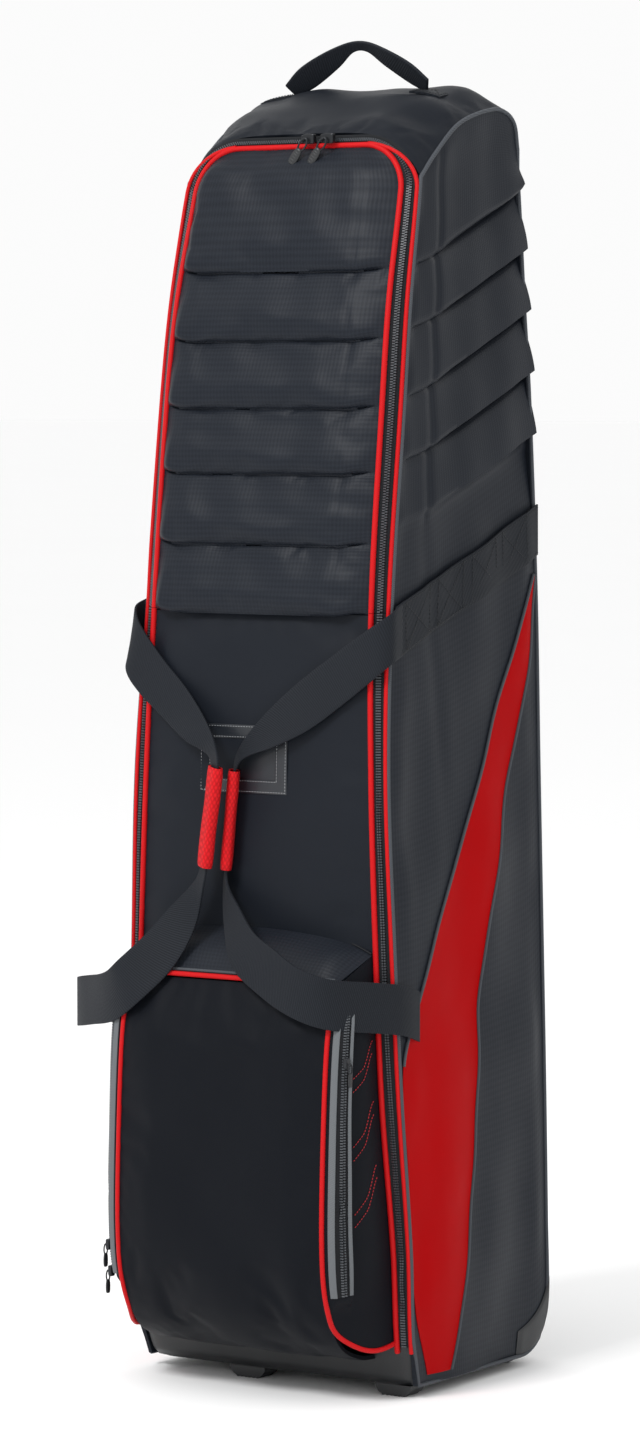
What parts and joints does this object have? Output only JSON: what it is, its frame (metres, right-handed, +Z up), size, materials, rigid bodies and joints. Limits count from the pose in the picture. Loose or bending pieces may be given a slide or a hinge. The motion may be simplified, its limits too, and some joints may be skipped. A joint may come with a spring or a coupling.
{
  "type": "golf travel case",
  "caption": "Tall soft-sided wheeled golf travel case with a quilted fold-down door, front pocket, two webbing carry handles, red side inserts and a top handle.",
  "frame": {"origin": "middle of the outline seen from above, on the floor under the feet and wheels", "axes": "+Z up, -Y towards the door and pocket at the front, +X to the right seen from the front"},
  "size_m": [0.3922, 0.3734, 1.3523],
  "materials": {
    "shell_nylon": "ripstop weave, slight sheen",
    "dark_nylon": "plain weave, matt",
    "crown_padding": "closed-cell foam in lining",
    "webbing": "herringbone webbing",
    "red_fabric": "satin coated nylon",
    "red_grip": "knitted padded sleeve",
    "zip_teeth": "moulded coil",
    "zip_metal": "gunmetal enamel",
    "moulded_black": "fine grain",
    "wheel_plastic": "matt tread",
    "steel": "turned",
    "vinyl": "clear film over grey card",
    "base_board": "fluted board"
  },
  "bodies": {
    "case": {"back_panel": "shell_nylon", "left_side_panel": "shell_nylon", "right_side_panel": "shell_nylon", "crown_panel": "shell_nylon", "crown_foam": "crown_padding", "left_front_edge": "shell_nylon", "right_front_edge": "shell_nylon", "lower_door": "shell_nylon", "body_zip": "zip_teeth", "left_lower_zip": "zip_teeth", "right_lower_zip": "zip_teeth", "pocket_front": "dark_nylon", "pocket_top": "shell_nylon", "pocket_left_gusset": "dark_nylon", "pocket_right_gusset": "dark_nylon", "pocket_left_zip": "zip_teeth", "pocket_right_zip": "zip_teeth", "id_window_frame": "vinyl", "id_window_pane": "vinyl", "left_red_insert": "red_fabric", "right_red_insert": "red_fabric", "left_side_webbing": "webbing", "right_side_webbing": "webbing", "left_lower_strap_end": "webbing", "right_lower_strap_end": "webbing", "top_handle_left_anchor": "webbing", "top_handle_right_anchor": "webbing", "base_tray": "moulded_black", "base_board": "base_board", "left_foot": "moulded_black", "right_foot": "moulded_black", "left_skid_rail": "moulded_black", "right_skid_rail": "moulded_black", "left_axle": "steel", "left_wheel_housing": "moulded_black", "right_axle": "steel", "right_wheel_housing": "moulded_black", "inner_strap": "webbing", "inner_buckle": "moulded_black"},
    "upper_flap": {"upper_flap": "shell_nylon", "flap_zip": "zip_teeth"},
    "left_door_slider": {"left_door_slider": "zip_metal"},
    "left_door_pull": {"left_door_pull": "zip_metal"},
    "left_handle": {"left_handle_strap": "webbing", "left_grip": "red_grip"},
    "left_wheel": {"left_wheel": "wheel_plastic", "left_wheel_bearings": "steel"},
    "right_door_slider": {"right_door_slider": "zip_metal"},
    "right_door_pull": {"right_door_pull": "zip_metal"},
    "right_handle": {"right_handle_strap": "webbing", "right_grip": "red_grip"},
    "right_wheel": {"right_wheel": "wheel_plastic", "right_wheel_bearings": "steel"},
    "pocket_left_upper_slider": {"pocket_left_upper_slider": "zip_metal"},
    "pocket_left_upper_pull": {"pocket_left_upper_pull": "zip_metal"},
    "pocket_left_lower_slider": {"pocket_left_lower_slider": "zip_metal"},
    "pocket_left_lower_pull": {"pocket_left_lower_pull": "zip_metal"},
    "pocket_right_slider": {"pocket_right_slider": "zip_metal"},
    "pocket_right_pull": {"pocket_right_pull": "zip_metal"},
    "top_handle": {"top_handle": "webbing"}
  },
  "joints": [
    {"name": "upper_flap_fold", "type": "hinge", "parent": "case", "child": "upper_flap", "pos_m": [0.025, -0.1122, 0.779], "axis": [1, 0, 0], "range_deg": [0, 110]},
    {"name": "left_door_slider_run", "type": "slide", "parent": "upper_flap", "child": "left_door_slider", "axis": [-1, 0, 0], "range_m": [0, 0.085]},
    {"name": "right_door_slider_run", "type": "slide", "parent": "upper_flap", "child": "right_door_slider", "axis": [1, 0, 0], "range_m": [0, 0.035]},
    {"name": "left_door_pull_swing", "type": "hinge", "parent": "left_door_slider", "child": "left_door_pull", "pos_m": [0.039, -0.04842, 1.249], "axis": [-0.788, 0, 0.6157], "range_deg": [0, 130]},
    {"name": "right_door_pull_swing", "type": "hinge", "parent": "right_door_slider", "child": "right_door_pull", "pos_m": [0.062, -0.04842, 1.249], "axis": [-0.788, 0, 0.6157], "range_deg": [0, 130]},
    {"name": "left_handle_swing", "type": "hinge", "parent": "case", "child": "left_handle", "pos_m": [-0.127, -0.0995, 0.57], "axis": [0, 0, -1], "range_deg": [0, 110]},
    {"name": "right_handle_swing", "type": "hinge", "parent": "case", "child": "right_handle", "pos_m": [0.177, -0.0995, 0.57], "axis": [0, 0, 1], "range_deg": [0, 77]},
    {"name": "top_handle_swing", "type": "hinge", "parent": "case", "child": "top_handle", "pos_m": [0.025, 0.0695, 1.314], "axis": [1, 0, 0], "range_deg": [-60, 60]},
    {"name": "left_wheel_spin", "type": "hinge", "parent": "case", "child": "left_wheel", "pos_m": [-0.107, 0.1385, 0.036], "axis": [1, 0, 0], "continuous": true},
    {"name": "right_wheel_spin", "type": "hinge", "parent": "case", "child": "right_wheel", "pos_m": [0.157, 0.1385, 0.036], "axis": [1, 0, 0], "continuous": true},
    {"name": "pocket_left_upper_slider_run", "type": "slide", "parent": "case", "child": "pocket_left_upper_slider", "axis": [0.0037, 0.0101, 0.9999], "range_m": [0, 0.2]},
    {"name": "pocket_left_upper_pull_swing", "type": "hinge", "parent": "pocket_left_upper_slider", "child": "pocket_left_upper_pull", "pos_m": [-0.1224, -0.17021, 0.13951], "axis": [0, 1, 0], "range_deg": [0, 120]},
    {"name": "pocket_left_lower_slider_run", "type": "slide", "parent": "case", "child": "pocket_left_lower_slider", "axis": [-0.0021, 0.1504, -0.9886], "range_m": [0, 0.0091]},
    {"name": "pocket_left_lower_pull_swing", "type": "hinge", "parent": "pocket_left_lower_slider", "child": "pocket_left_lower_pull", "pos_m": [-0.1225, -0.16614, 0.11214], "axis": [0, 1, 0], "range_deg": [0, 120]},
    {"name": "pocket_right_slider_run", "type": "slide", "parent": "case", "child": "pocket_right_slider", "axis": [0.0038, -0.0174, -0.9998], "range_m": [0, 0.19]},
    {"name": "pocket_right_pull_swing", "type": "hinge", "parent": "pocket_right_slider", "child": "pocket_right_pull", "pos_m": [0.17164, -0.16789, 0.34302], "axis": [0, -1, 0], "range_deg": [0, 120]}
  ],
  "couplings": [
    {"joint": "right_handle_swing", "follows": "left_handle_swing", "ratio": 0.7}
  ]
}
